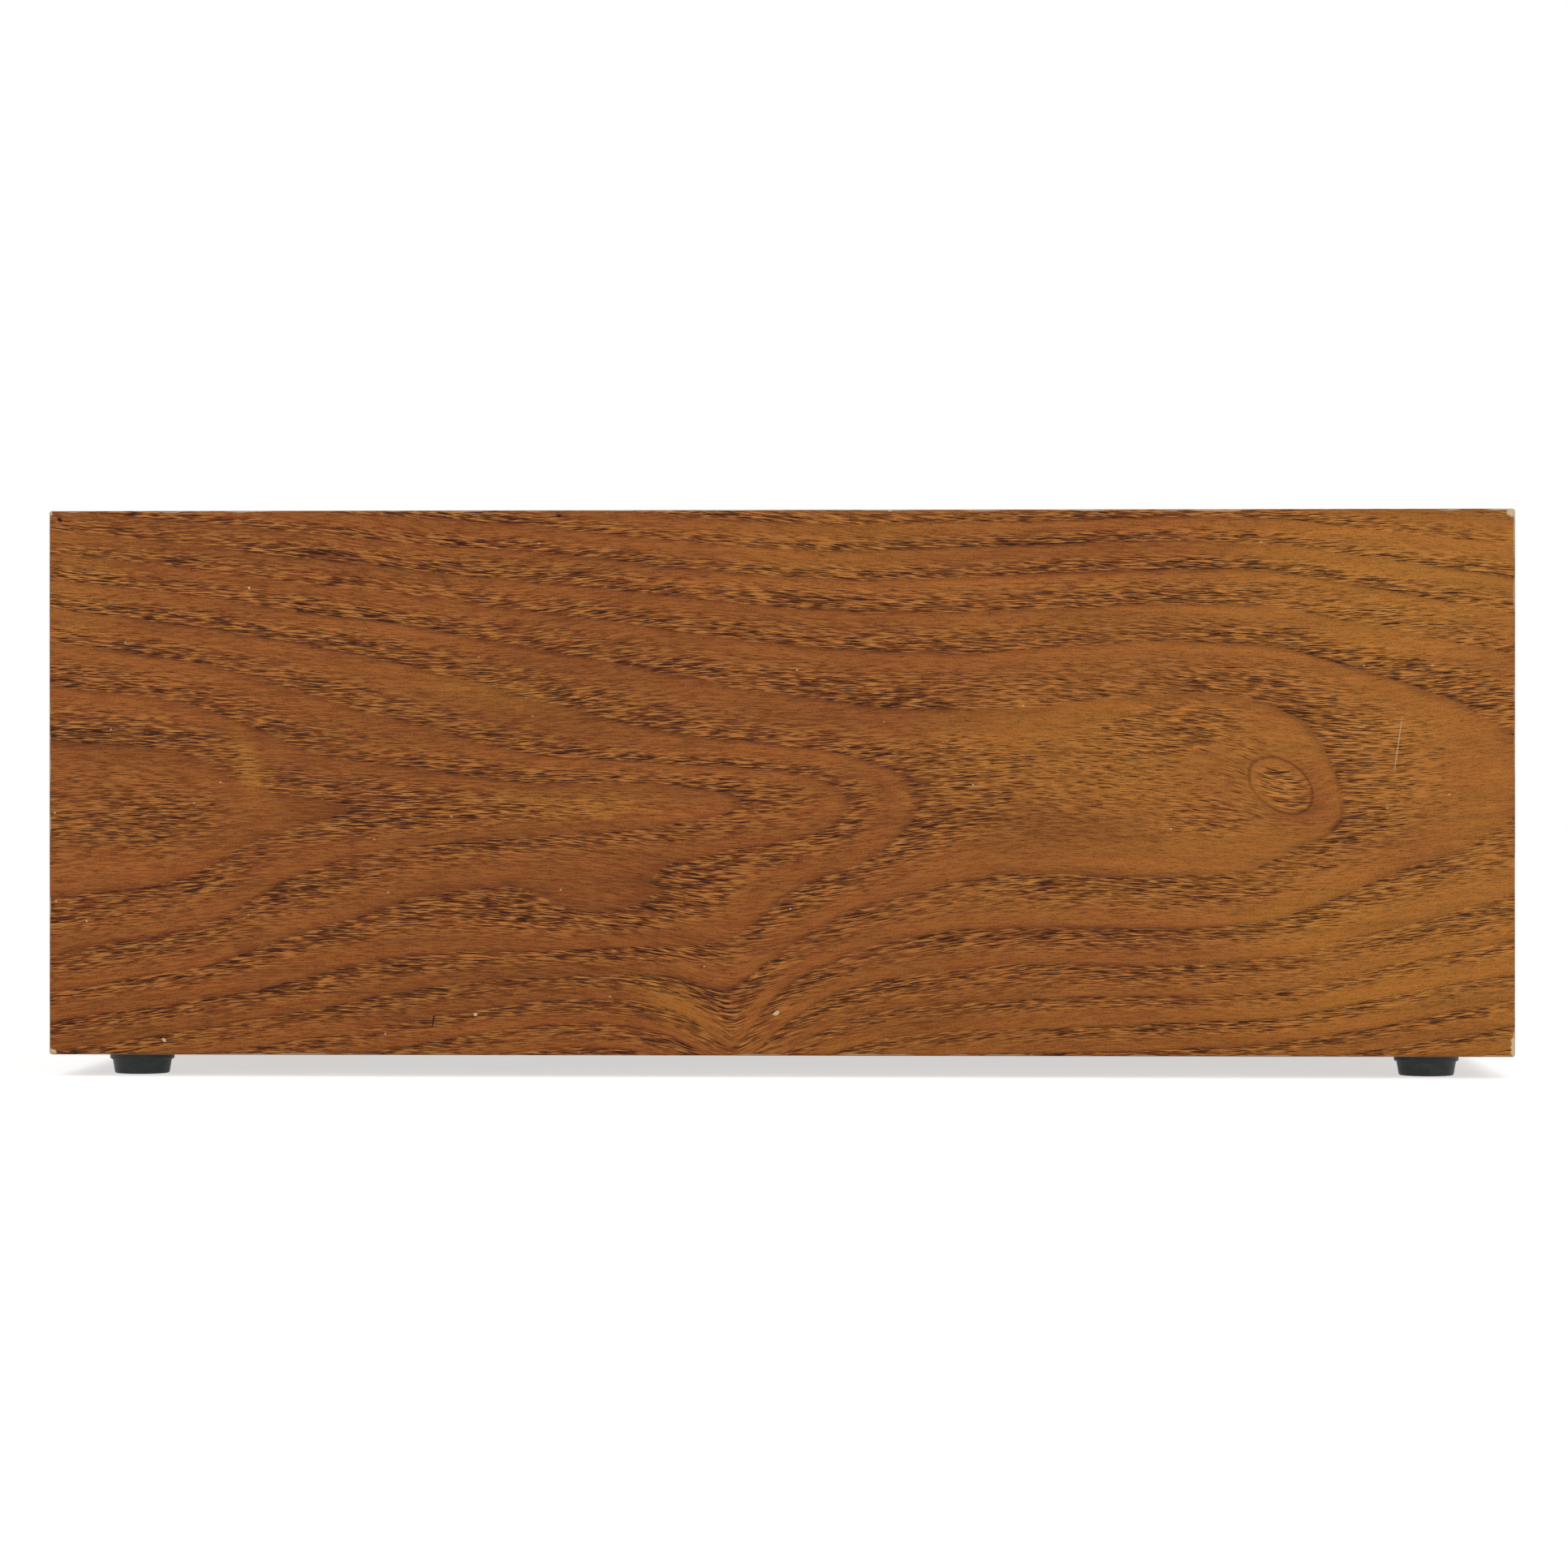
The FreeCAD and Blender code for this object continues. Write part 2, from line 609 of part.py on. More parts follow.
def nodes():
    hinge_screw = countersunk_screw(hinge_screw_shank, hinge_screw_head, hinge_screw_length)
    sheet_screw = pan_screw(sheet_screw_shank, sheet_screw_head, sheet_screw_head_height, sheet_screw_length)
    plate_screw = countersunk_screw(plate_screw_shank, plate_screw_head, plate_screw_length)
    base_screw = countersunk_screw(base_screw_shank, base_screw_head, base_screw_length)
    foot_screw = pan_screw(foot_screw_shank, foot_screw_head, foot_screw_head_height, foot_screw_length)
    cam_screw = pan_screw(cam_screw_shank, cam_screw_head, cam_screw_head_height, cam_screw_length)
    made = {
        "front_panel": front_panel(),
        "left_side_panel": side_panel(left, inside_left),
        "right_side_panel": side_panel(right, inside_right),
        "top_panel": top_panel(),
        "base_panel": base_panel(),
        "glue_blocks": glue_blocks(),
        "left_door_stop": door_stop(inside_left, inside_left + stop_width),
        "right_door_stop": door_stop(inside_right - stop_width, inside_right),
        "base_screws": group(base_screw, base_screw_places(), UP),
        "slot_plate": slot_plate(),
        "slot_plate_screws": group(plate_screw, plate_screw_places(), DOWN),
        "slot_baffle": slot_baffle(),
        "baffle_screws": group(sheet_screw, baffle_screw_places(), UP),
        "lock_keeper": lock_keeper(),
        "keeper_screws": group(sheet_screw, keeper_screw_places(), UP),
        "foot_washers": foot_washers(),
        "foot_screws": group(foot_screw, foot_screw_places(), UP),
        "hinge_base_screws": group(hinge_screw, leaf_screw_places(hinge_z - hinge_leaf_gap / 2), DOWN),
        "hinge_door_screws": group(hinge_screw, leaf_screw_places(hinge_z + hinge_leaf_gap / 2), UP),
        "rear_door": rear_door(),
        "lock_housing": lock_housing(),
        "lock_washer": lock_washer(),
        "lock_nut": lock_nut(),
        "lock_plug": lock_plug(),
        "lock_cam": lock_cam(),
        "lock_cam_screw": aimed(cam_screw, point(0, cam_front, lock_z), TO_BACK),
    }
    made.update(bearers())
    for corner, place in foot_places().items():
        made[f"foot_{corner}"] = foot(place)
    for side, middle in hinge_middles.items():
        made[f"{side}_hinge_base_leaf"] = hinge_leaf_solid(middle, -1, 0)
        made[f"{side}_hinge_door_leaf"] = hinge_leaf_solid(middle, 1, 1)
        made[f"{side}_hinge_pin"] = hinge_pin_solid(middle)
    return made


def main():
    os.makedirs("parts", exist_ok=True)
    for name, shape in sorted(nodes().items()):
        solids = shape if isinstance(shape, list) else [shape]
        whole = Part.makeCompound([solid for part in solids for solid in part.Solids])
        whole.exportStep(f"parts/{name}.step")
        print(f"{name}: {len(whole.Solids)} solid(s), {whole.Volume:.1f} mm3, valid {whole.isValid()}")


main()
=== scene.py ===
import json
import math
import bmesh
import bpy
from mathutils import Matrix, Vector

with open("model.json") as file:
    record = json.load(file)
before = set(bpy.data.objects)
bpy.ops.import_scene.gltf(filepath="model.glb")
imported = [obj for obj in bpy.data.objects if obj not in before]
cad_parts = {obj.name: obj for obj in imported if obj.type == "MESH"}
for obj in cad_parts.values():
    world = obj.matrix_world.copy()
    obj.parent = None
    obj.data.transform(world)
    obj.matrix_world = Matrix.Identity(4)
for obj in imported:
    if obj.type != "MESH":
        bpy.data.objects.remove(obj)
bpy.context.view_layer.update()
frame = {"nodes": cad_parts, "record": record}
print("frame loaded:", len(frame["nodes"]), "nodes")


def hexToLinear(code):
    channels = [int(code[i:i + 2], 16) / 255 for i in (1, 3, 5)]
    linear = [c / 12.92 if c <= 0.04045 else ((c + 0.055) / 1.055) ** 2.4 for c in channels]
    return (*linear, 1.0)


# adds one node: feeds are values or sockets for its inputs, settings are its own properties
def put(tree, kind, feeds=None, out=0, **settings):
    node = tree.nodes.new("ShaderNode" + kind)
    for name, value in settings.items():
        setattr(node, name, value)
    named = dict(enumerate(feeds)) if isinstance(feeds, (list, tuple)) else feeds or {}
    for socket, value in named.items():
        if isinstance(value, bpy.types.NodeSocket):
            tree.links.new(value, node.inputs[socket])
        else:
            node.inputs[socket].default_value = value
    return node.outputs[out]


def newFinish(name, **surface):
    material = bpy.data.materials.new(name)
    material.use_nodes = True
    tree = material.node_tree
    shader = tree.nodes["Principled BSDF"]
    for socket, value in surface.items():
        shader.inputs[socket.replace("_", " ")].default_value = value
    return material, tree, shader


# distance from the middle of a turned ellipse on the board, 1 at its edge
def awayFrom(tree, flat, at, size, turn):
    local = put(tree, "Mapping", {0: flat, 1: (*at, 0.0), 2: (0, 0, math.radians(turn)), 3: (*size, 1.0)},
                vector_type="TEXTURE")
    return put(tree, "VectorMath", [local], out="Value", operation="LENGTH")


# uneven patterns whose features have the given sizes in mm along X, Y and Z
def patternsInMm(tree, cells, detail):
    inMm = put(tree, "VectorMath", {0: put(tree, "TexCoord", out="Object"), "Scale": 1000.0}, operation="SCALE")
    spots = [put(tree, "Mapping", {0: inMm, 3: cell}, vector_type="TEXTURE") for cell in cells]
    return [put(tree, "TexNoise", {"Vector": spot, "Scale": 1.0, "Detail": detail}) for spot in spots]


# Lacquered elm-like veneer, sliced flat: the growth rings show as nested arches with a soft dark
# line, a band of open pores and then smooth late wood; the pores are short dashes along the grain
veneer = {
    "early": "#763c16",
    "middle": "#83471b",
    "late": "#8c4e1f",
    "line": "#4c2108",
    "pore": "#2a0a00",
    "gold": "#a66b25",
    # painted highlight: the colour of light caught on the pores' lips
    "glint": "#db9245",
    "red": "#703812",
    "worn": "#cfb591",
    "dark": "#2c1205",
    "inner": "#bd9465",
    "ringSpread": 28.0,          # mm off the arches' middle line to the first ring; the next ones lie closer
    "troughWidth": 11.0,         # mm, how far the arches' tongues reach to both sides
    "swayBy": 5.0,               # mm
    "tremorBy": 0.16,            # in rings
    "countFrom": 40.0,           # in rings, keeps the count above zero
    "lean": 0.0008,              # how much the fibre spreads for each mm along the board
    "waver": (95.0, 70.0, 1.0),  # mm, one wave of the fibre along and across
    "waverBy": 14.0,             # mm
    "bandStart": 0.2,            # share of a ring at which its pores start to thin out
    "bandEnd": (0.6, 1.05),      # share of a ring at which they end, the least and the most
    "poreLimits": {"pore": (0.21, 0.46), "hair": (0.2, 0.43)},  # reach of a pore in its cell, sparse and dense
    "poreSoft": 0.13,            # the part of that reach in which a pore fades
    "poreShade": 0.97,
    "poreDepth": 0.00006,        # m
    "glintShare": (0.16, 0.6),   # strength of the painted highlights on the pores' lips, sparse and dense
    "swings": {"fibre": (0.88, 1.12), "stripe": (0.84, 1.16), "grain": (0.74, 1.28)},  # times the colour
    "lineFrom": 0.9,             # share of a ring at which its wood darkens towards the next line
    "lineTo": 0.09,              # share of a ring at which the line has faded
    "lineShade": 0.36,
    "skinFacing": 0.6,           # how squarely a face looks outwards to count as the outer face
    "bandFibre": (34.0, 0.8),    # mm along and across the edge band
    "bandSwing": (0.6, 1.2),     # times its colour
    "bandSaturation": 0.88,
    "gloss": (0.42, 0.62),       # roughness of the lacquer and of an open pore
    "wornGloss": 0.25,           # roughness that wear adds
    "innerGloss": 0.72,
}

# pattern layers: cell is the size of one feature in mm, along and across the grain; the even fine grain
# is drawn coarser than the wood's own, so that it shows
veneerLayers = {
    "pore": {"kind": "TexVoronoi", "cell": (6.0, 0.27, 1.0), "detail": 0.0, "follows": "fibre"},   # open pores
    "hair": {"kind": "TexVoronoi", "cell": (4.0, 0.22, 1.0), "detail": 0.0, "follows": "fibre"},   # finer pores
    "poreGlints": {"kind": "TexVoronoi", "cell": (4.4, 0.27, 1.0), "detail": 0.0, "follows": "fibre"},    # painted highlights on the pores' lit lips
    "fibre": {"kind": "TexNoise", "cell": (12.0, 0.7, 1.0), "detail": 4.0, "follows": "fibre"},    # fine streaks
    "stripe": {"kind": "TexNoise", "cell": (120.0, 4.0, 1.0), "detail": 2.0, "follows": "fibre"},  # broad streaks
    "sway": {"kind": "TexNoise", "cell": (80.0, 30.0, 1.0), "detail": 1.0, "follows": "board"},    # wander of rings
    "tremor": {"kind": "TexNoise", "cell": (16.0, 5.0, 1.0), "detail": 2.0, "follows": "board"},   # ragged ring line
    "fading": {"kind": "TexNoise", "cell": (55.0, 11.0, 1.0), "detail": 2.0, "follows": "board"},  # where lines show
    "cloud": {"kind": "TexNoise", "cell": (120.0, 45.0, 1.0), "detail": 2.0, "follows": "board"},  # red, yellow wood
    "rub": {"kind": "TexNoise", "cell": (14.0, 14.0, 1.0), "detail": 4.0, "follows": "board"},     # worn edges
    "speck": {"kind": "TexVoronoi", "cell": (30.0, 24.0, 1.0), "detail": 0.0, "follows": "board"},  # tiny bare spots
    "grit": {"kind": "TexNoise", "cell": (1.6, 1.2, 1.0), "detail": 3.0, "follows": "board"},      # ragged chips
    "grain": {"kind": "TexNoise", "cell": (0.5, 0.32, 1.0), "detail": 2.0, "follows": "board"},    # even fine grain
}

# the figure of each board, in mm from its middle. Rings are counted outwards from the arches' middle
# line, which starts at axis and climbs by rise: broad says how many are already gone at each place
# along the grain, trough how many of them a narrow tongue takes back, and a knot pulls rings in, bends
# the fibre and draws a rim. Porous spots set how thick the pores stand. Of the sheen and tint patches,
# the gold ones paint a golden sheen, the shimmer of the figure, and lighten the tone; the red ones darken it
figures = {
    "front_panel": {
        "along": "X", "across": "Z", "centre": (0.0, 72.5), "half": (180.0, 67.0), "seed": 3.1,
        "axis": -4.0, "rise": 0.03, "squeeze": (1.0, 1.04),
        "broad": [(-180, -0.46), (-114, 0.9), (-50, 2.3), (0, 3.2), (40, 3.45), (115, 3.45), (140, 4.0), (180, 4.9)],
        "trough": [(-180, 0.0), (-140, 0.25), (-114, 0.9), (-60, 1.6), (-23, 1.9), (7, 1.3), (30, 0.4), (50, 0.0),
                   (180, 0.0)],
        "knots": [
            {"at": (124.0, -1.0), "reach": (11.5, 7.6), "turn": -34.0, "depth": 1.35, "power": 2.6,
             "bend": 3.0, "rim": 0.65},
            {"at": (-11.7, -63.0), "reach": (17.0, 25.0), "turn": 0.0, "depth": 3.2, "power": 1.1,
             "bend": 12.0, "rim": 0.0},
            {"at": (-148.0, -8.4), "reach": (22.0, 30.0), "turn": 0.0, "depth": 0.7, "power": 2.0,
             "bend": 2.0, "rim": 0.0},
            {"at": (-40.0, -33.0), "reach": (36.0, 14.0), "turn": 6.0, "depth": 1.1, "power": 2.0,
             "bend": 0.0, "rim": 0.0},
            {"at": (14.0, -14.0), "reach": (20.0, 14.0), "turn": 0.0, "depth": 0.5, "power": 2.0,
             "bend": 0.0, "rim": 0.0},
        ],
        "porous": [
            {"at": (74.0, 2.0), "size": (24.0, 11.0), "turn": 0.0, "share": 0.5},
            {"at": (96.0, 13.0), "size": (21.0, 7.0), "turn": 6.0, "share": 0.85},
            {"at": (45.0, 0.0), "size": (15.0, 13.0), "turn": 0.0, "share": 0.8},
            {"at": (104.0, -8.0), "size": (15.0, 6.0), "turn": 0.0, "share": 0.6},
            {"at": (124.0, -1.0), "size": (14.0, 10.0), "turn": -34.0, "share": 0.0},
            {"at": (123.5, -1.5), "size": (8.2, 5.0), "turn": -34.0, "share": 0.95},
        ],
        # gold patches: painted golden sheen, the figure's shimmer, and a lighter tone; red patches: a darker tone of
        # the wood
        "sheensAndTints": [
            {"at": (-25.0, -54.5), "size": (15.0, 4.5), "turn": -32.0, "tint": "gold", "strength": 0.55},
            {"at": (110.0, -14.0), "size": (24.0, 4.5), "turn": 0.0, "tint": "gold", "strength": 0.4},
            {"at": (130.0, -34.0), "size": (20.0, 7.0), "turn": 12.0, "tint": "gold", "strength": 0.45},
            {"at": (152.0, 0.0), "size": (12.0, 18.0), "turn": -20.0, "tint": "gold", "strength": 0.4},
            {"at": (120.0, -2.0), "size": (9.0, 7.0), "turn": -28.0, "tint": "gold", "strength": 0.35},
            {"at": (-70.0, 22.0), "size": (30.0, 5.0), "turn": -8.0, "tint": "gold", "strength": 0.3},
            {"at": (-130.0, 3.0), "size": (4.5, 12.0), "turn": 25.0, "tint": "gold", "strength": 0.45},
            {"at": (-52.0, -5.5), "size": (24.0, 3.5), "turn": 2.0, "tint": "gold", "strength": 0.4},
            {"at": (148.0, 52.0), "size": (52.0, 19.0), "turn": -6.0, "tint": "gold", "strength": 0.5},
            {"at": (-172.0, 46.0), "size": (14.0, 20.0), "turn": 0.0, "tint": "gold", "strength": 0.25},
            {"at": (170.0, -11.0), "size": (13.0, 10.0), "turn": 0.0, "tint": "gold", "strength": 0.4},
            {"at": (-118.0, -3.0), "size": (10.0, 8.0), "turn": 0.0, "tint": "red", "strength": 0.6},
            {"at": (62.0, -9.0), "size": (28.0, 11.0), "turn": 0.0, "tint": "red", "strength": 0.6},
            {"at": (36.0, -54.0), "size": (30.0, 13.0), "turn": 10.0, "tint": "red", "strength": 0.55},
            {"at": (-160.0, -58.0), "size": (28.0, 9.0), "turn": 0.0, "tint": "red", "strength": 0.35},
            {"at": (166.0, -59.0), "size": (16.0, 9.0), "turn": 0.0, "tint": "red", "strength": 0.35},
        ],
        "worn": [
            {"at": (180.0, 67.0), "size": (2.6, 2.4), "turn": 0.0},
            {"at": (180.0, -65.0), "size": (1.2, 4.5), "turn": 0.0},
            {"at": (-180.0, -66.5), "size": (1.8, 1.4), "turn": 0.0},
            {"at": (-180.0, 66.5), "size": (0.9, 0.9), "turn": 0.0},
            {"at": (27.2, 66.9), "size": (0.7, 0.5), "turn": 0.0},
            {"at": (-0.6, -56.6), "size": (0.9, 0.6), "turn": 30.0},
            {"at": (-74.6, -57.0), "size": (0.5, 0.4), "turn": 0.0},
            {"at": (-151.5, -63.4), "size": (0.6, 0.4), "turn": -40.0},
            {"at": (-130.5, 48.0), "size": (0.3, 0.3), "turn": 0.0},
            {"at": (-170.7, -34.1), "size": (0.3, 0.3), "turn": 0.0},
        ],
        "scratches": [{"at": (151.5, 9.5), "size": (0.2, 7.5), "turn": -8.0}],
        "darkSpots": [
            {"at": (-177.3, 64.8), "size": (0.9, 0.6), "turn": -40.0},
            {"at": (-85.0, -58.5), "size": (0.25, 1.6), "turn": -10.0},
            {"at": (-54.0, 65.6), "size": (0.7, 0.5), "turn": 0.0},
        ],
        "skin": ("Y", -1.0),
    },
    "top_panel": {
        "along": "X", "across": "Y", "centre": (0.0, -2.35), "half": (180.0, 115.0), "seed": 11.7,
        "axis": 22.0, "rise": 0.02, "squeeze": (0.8, 0.7),
        "broad": [(-180, 4.6), (-120, 3.6), (-60, 3.3), (0, 2.6), (70, 1.6), (130, 0.4), (180, -0.6)],
        "trough": [(-180, 0.0), (-60, 0.3), (0, 1.2), (70, 1.7), (130, 0.6), (180, 0.0)],
        "knots": [{"at": (-96.0, -58.0), "reach": (16.0, 18.0), "turn": 15.0, "depth": 2.0, "power": 1.2,
                   "bend": 9.0, "rim": 0.0}],
        "worn": [{"at": (178.0, -115.0), "size": (4.0, 2.0), "turn": 0.0},
                 {"at": (-180.0, 114.0), "size": (2.2, 2.4), "turn": 0.0}],
        "scratches": [{"at": (-62.0, -34.0), "size": (9.0, 0.18), "turn": 24.0}],
        "porous": [], "sheensAndTints": [], "darkSpots": [], "skin": ("Z", 1.0),
    },
    "left_side_panel": {
        "along": "Y", "across": "Z", "centre": (-2.35, 72.5), "half": (115.0, 67.0), "seed": 23.9,
        "axis": 8.0, "rise": 0.02, "squeeze": (1.0, 1.05),
        "broad": [(-180, 4.2), (-115, 3.4), (-60, 3.0), (0, 2.2), (50, 1.2), (115, 0.2), (180, -0.4)],
        "trough": [(-180, 0.0), (-60, 0.4), (0, 1.3), (50, 1.2), (115, 0.2), (180, 0.0)],
        "knots": [{"at": (40.0, -52.0), "reach": (18.0, 16.0), "turn": 10.0, "depth": 2.0, "power": 1.2,
                   "bend": 9.0, "rim": 0.0}],
        "worn": [{"at": (115.0, -66.0), "size": (2.2, 1.8), "turn": 0.0}],
        "porous": [], "sheensAndTints": [], "scratches": [], "darkSpots": [], "skin": ("X", -1.0),
    },
    "right_side_panel": {
        "along": "Y", "across": "Z", "centre": (-2.35, 72.5), "half": (115.0, 67.0), "seed": 37.3,
        "axis": -10.0, "rise": 0.03, "squeeze": (1.0, 1.05),
        "broad": [(-180, -0.5), (-115, 0.4), (-50, 1.6), (10, 2.8), (60, 3.3), (115, 3.9), (180, 4.6)],
        "trough": [(-180, 0.0), (-115, 0.4), (-50, 1.2), (10, 1.2), (60, 0.2), (115, 0.0), (180, 0.0)],
        "knots": [{"at": (62.0, 6.0), "reach": (13.0, 9.0), "turn": -15.0, "depth": 0.88, "power": 2.6,
                   "bend": 3.0, "rim": 0.65}],
        "worn": [{"at": (-115.0, 66.0), "size": (2.6, 2.2), "turn": 0.0},
                 {"at": (-115.0, -66.0), "size": (1.4, 3.6), "turn": 0.0}],
        "porous": [], "sheensAndTints": [], "scratches": [], "darkSpots": [], "skin": ("X", 1.0),
    },
    "rear_door": {
        "along": "X", "across": "Z", "centre": (0.0, 71.85), "half": (169.0, 56.15), "seed": 51.2,
        "axis": -8.0, "rise": 0.03, "squeeze": (1.0, 1.0),
        "broad": [(-180, 4.4), (-120, 3.5), (-60, 3.2), (0, 2.4), (60, 1.4), (120, 0.4), (180, -0.5)],
        "trough": [(-180, 0.0), (-60, 0.2), (0, 1.2), (60, 1.4), (120, 0.5), (180, 0.0)],
        "knots": [{"at": (-118.0, 6.0), "reach": (14.0, 9.0), "turn": 12.0, "depth": 0.88, "power": 2.6,
                   "bend": 3.0, "rim": 0.65}],
        "worn": [{"at": (169.0, 56.0), "size": (1.8, 1.6), "turn": 0.0}],
        "scratches": [{"at": (64.0, 18.0), "size": (0.2, 6.0), "turn": 30.0}],
        "porous": [], "sheensAndTints": [], "darkSpots": [], "skin": ("Y", 1.0),
    },
}


def veneerFinish(name, figure):
    material, tree, shader = newFinish(name, IOR=1.5, Specular_IOR_Level=0.14)
    spot = put(tree, "TexCoord", out="Object")
    inMm = put(tree, "VectorMath", {0: spot, "Scale": 1000.0}, operation="SCALE")
    axes = put(tree, "SeparateXYZ", [inMm]).node.outputs
    u = put(tree, "Math", [axes[figure["along"]], figure["centre"][0]], operation="SUBTRACT")
    v = put(tree, "Math", [axes[figure["across"]], figure["centre"][1]], operation="SUBTRACT")
    flat = put(tree, "CombineXYZ", [u, v, 0.0])

    # knots: how many rings each pulls in at this point, how many mm the fibre bends round it, and how
    # strongly its rim is drawn
    pull, bend, rim = 0.0, 0.0, 0.0
    for knot in figure["knots"]:
        away = awayFrom(tree, flat, knot["at"], knot["reach"], knot["turn"])
        steep = put(tree, "Math", [away, knot["power"]], operation="POWER")
        steep = put(tree, "Math", [steep, -1.0], operation="MULTIPLY")
        fade = put(tree, "Math", [math.e, steep], operation="POWER")
        pull = put(tree, "Math", [fade, knot["depth"], pull], operation="MULTIPLY_ADD")
        bend = put(tree, "Math", [fade, knot["bend"], bend], operation="MULTIPLY_ADD")
        rim = put(tree, "Math", [fade, knot["rim"], rim], operation="MULTIPLY_ADD")

    # the fibre leans and wavers a little and bends round the knots, and the layers lie on it or on the board
    lean = put(tree, "Math", [u, veneer["lean"], 1.0], operation="MULTIPLY_ADD")
    leant = put(tree, "Math", [v, lean], operation="MULTIPLY")
    wave = put(tree, "Mapping", {0: flat, 3: veneer["waver"]}, vector_type="TEXTURE")
    wave = put(tree, "TexNoise", {"Vector": wave, "Scale": 1.0, "Detail": 0.0})
    bent = put(tree, "Math", [wave, veneer["waverBy"], leant], operation="MULTIPLY_ADD")
    bent = put(tree, "Math", [bend, bent], operation="ADD")
    planes = {"board": put(tree, "CombineXYZ", [u, v, figure["seed"]]),
              "fibre": put(tree, "CombineXYZ", [u, bent, figure["seed"]])}
    layers = {}
    for place, (key, layer) in enumerate(veneerLayers.items()):
        cell = put(tree, "Mapping", {0: planes[layer["follows"]], 1: (0.0, 0.0, place), 3: layer["cell"]},
                   vector_type="TEXTURE")
        layers[key] = put(tree, layer["kind"], {"Vector": cell, "Scale": 1.0, "Detail": layer["detail"]})
    layers["speck"].node.voronoi_dimensions = "2D"

    # growth rings, counted from the arches' middle line
    curves = {}
    share = put(tree, "MapRange", {"Value": u, "From Min": -180.0, "From Max": 180.0})
    for key in ("broad", "trough"):
        curves[key] = put(tree, "FloatCurve", {"Value": share})
        points = curves[key].node.mapping.curves[0].points
        stops = [((at + 180) / 360, (rings + 1) / 10) for at, rings in figure[key]]
        points[0].location = stops[0]
        points[-1].location = stops[-1]
        for stop in stops[1:-1]:
            points.new(*stop)
        curves[key].node.mapping.update()
        curves[key] = put(tree, "Math", [curves[key], 10.0, -1.0], operation="MULTIPLY_ADD")
    middle = put(tree, "Math", [u, figure["rise"], figure["axis"]], operation="MULTIPLY_ADD")
    offAxis = put(tree, "Math", [v, middle], operation="SUBTRACT")
    sway = put(tree, "Math", [layers["sway"], 0.5], operation="SUBTRACT")
    level = put(tree, "Math", [sway, veneer["swayBy"], offAxis], operation="MULTIPLY_ADD")
    above, below = [squeeze / veneer["ringSpread"] for squeeze in figure["squeeze"]]
    half = put(tree, "Math", [level, (above + below) / 2], operation="MULTIPLY")
    folded = put(tree, "Math", [put(tree, "Math", [level], operation="ABSOLUTE"), (above - below) / 2, half],
                 operation="MULTIPLY_ADD")
    outward = put(tree, "Math", [folded, folded, curves["broad"]], operation="MULTIPLY_ADD")
    tongue = put(tree, "Math", [level, veneer["troughWidth"]], operation="DIVIDE")
    tongue = put(tree, "Math", [tongue, tongue], operation="MULTIPLY")
    tongue = put(tree, "Math", [tongue, -1.0], operation="MULTIPLY")
    tongue = put(tree, "Math", [math.e, tongue], operation="POWER")
    taken = put(tree, "Math", [tongue, curves["trough"], pull], operation="MULTIPLY_ADD")
    counted = put(tree, "Math", [outward, taken], operation="SUBTRACT")
    tremor = put(tree, "Math", [layers["tremor"], 0.5], operation="SUBTRACT")
    rings = put(tree, "Math", [tremor, veneer["tremorBy"], counted], operation="MULTIPLY_ADD")
    phase = put(tree, "Math", [rings, veneer["countFrom"]], operation="ADD")
    phase = put(tree, "Math", [phase], operation="FRACT")
    ringNumber = put(tree, "Math", [rings, figure["seed"] * 10], operation="ADD")
    ringNumber = put(tree, "Math", [ringNumber], operation="FLOOR")
    own = put(tree, "TexWhiteNoise", {"W": ringNumber}, noise_dimensions="1D")

    # pores crowd behind each ring line and thin out, with painted highlights, light caught on the pores' lips, among
    # them
    soonest, latest = veneer["bandEnd"]
    bandEnd = put(tree, "MapRange", {"Value": own, "To Min": soonest, "To Max": latest})
    crowd = put(tree, "MapRange", {"Value": phase, "From Min": veneer["bandStart"], "From Max": bandEnd,
                                   "To Min": 1.0, "To Max": 0.0}, interpolation_type="SMOOTHSTEP")
    shown = put(tree, "MapRange", {"Value": layers["fading"], "From Min": 0.34, "From Max": 0.6, "To Min": 0.6,
                                   "To Max": 1.08})
    crowd = put(tree, "Math", [crowd, shown], operation="MULTIPLY")
    for patch in figure["porous"]:
        away = awayFrom(tree, flat, patch["at"], patch["size"], patch["turn"])
        inside = put(tree, "MapRange", {"Value": away, "From Min": 1.15, "From Max": 0.6},
                     interpolation_type="SMOOTHSTEP")
        crowd = put(tree, "Mix", {0: inside, 2: crowd, 3: patch["share"]}, data_type="FLOAT")
    dash = 0.0
    for key, (sparse, dense) in veneer["poreLimits"].items():
        limit = put(tree, "MapRange", {"Value": crowd, "To Min": sparse, "To Max": dense})
        limitEnd = put(tree, "Math", [limit, veneer["poreSoft"]], operation="SUBTRACT")
        spots = put(tree, "MapRange", {"Value": layers[key], "From Min": limit, "From Max": limitEnd},
                    interpolation_type="SMOOTHSTEP")
        dash = put(tree, "Math", [spots, dash], operation="MAXIMUM")
    # painted highlights: pale specks that stand for light caught on the pores' lips, more of them where pores crowd
    fleck = put(tree, "MapRange", {"Value": layers["poreGlints"], "From Min": 0.66, "From Max": 0.3},
                interpolation_type="SMOOTHSTEP")
    sparse, dense = veneer["glintShare"]
    among = put(tree, "MapRange", {"Value": crowd, "To Min": sparse, "To Max": dense})
    fleck = put(tree, "Math", [fleck, among], operation="MULTIPLY")

